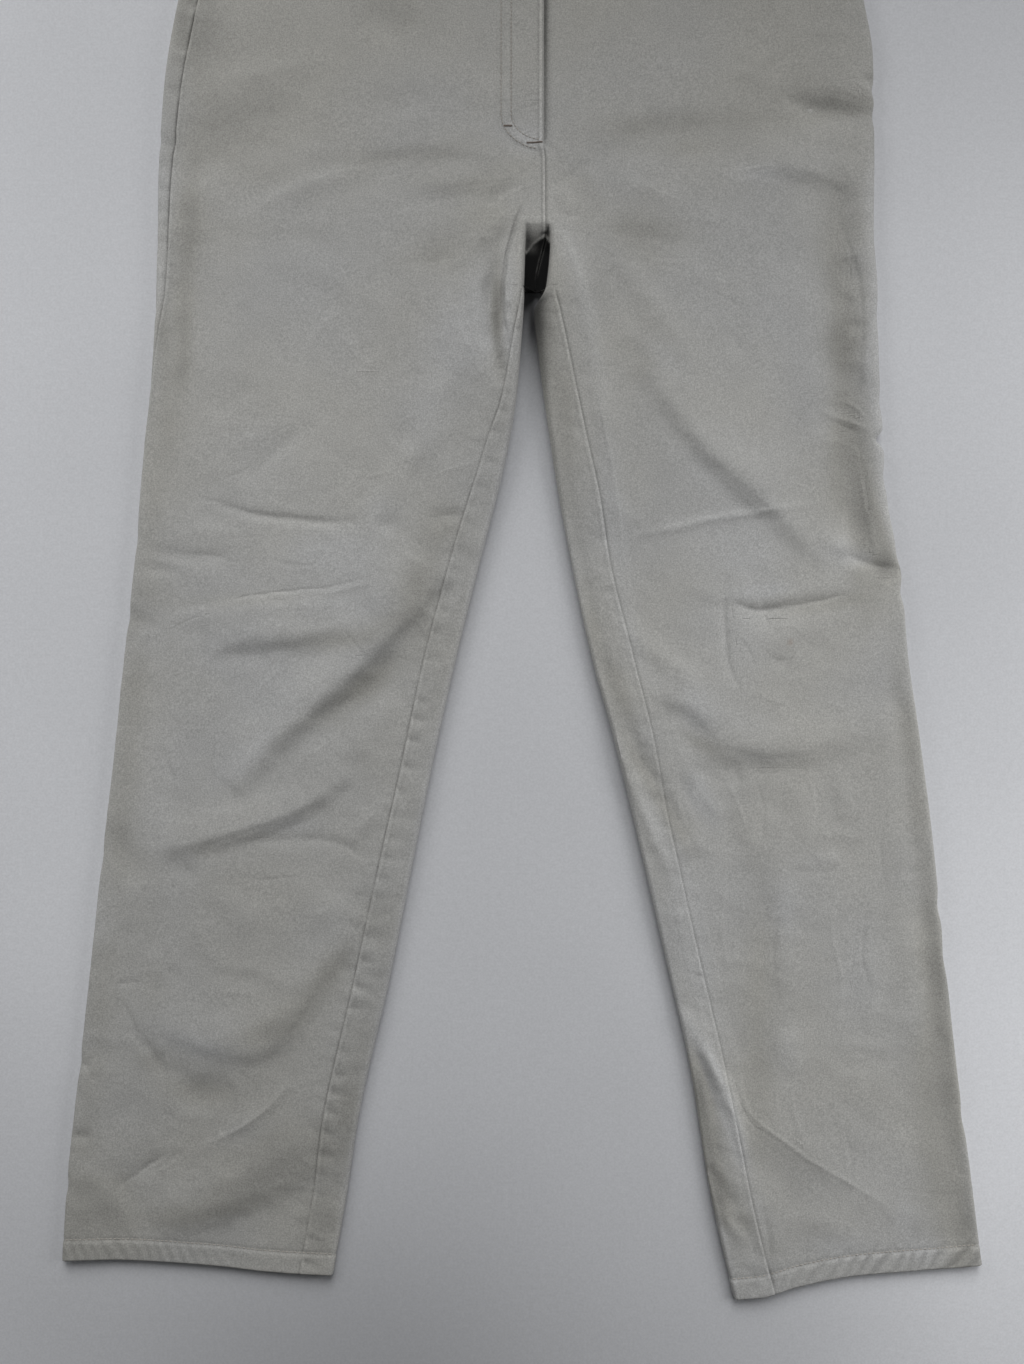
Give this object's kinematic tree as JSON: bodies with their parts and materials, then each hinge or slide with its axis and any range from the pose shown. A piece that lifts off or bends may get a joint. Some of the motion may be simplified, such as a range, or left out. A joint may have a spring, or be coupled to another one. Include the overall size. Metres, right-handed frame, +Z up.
{
  "type": "chino trousers",
  "caption": "Full-length tapered chino trousers with a fly front, laid flat on a surface with the front up.",
  "frame": {"origin": "middle of the underside, on the surface that the trousers lie on, in the gap between the legs", "axes": "+X towards the wearer's left leg, +Y towards the waist, +Z up, out of the front of the trousers"},
  "size_m": [0.6396, 1.0248, 0.014],
  "materials": {
    "trouser_cloth": "washed matte cotton twill, light grey-beige",
    "zip_tape": "matte woven tape",
    "zip_metal": "dull antique brass",
    "button": "satin moulded resin"
  },
  "bodies": {
    "root": {"front_right": "trouser_cloth", "front_left": "trouser_cloth", "back_right": "trouser_cloth", "back_left": "trouser_cloth", "waistband_front_right": "trouser_cloth", "waistband_front_left": "trouser_cloth", "waistband_back": "trouser_cloth", "fly_facing": "trouser_cloth", "zip_tape_right": "zip_tape", "zip_tape_left": "zip_tape", "zip_slider": "zip_metal", "waist_button": "button"}
  },
  "joints": []
}
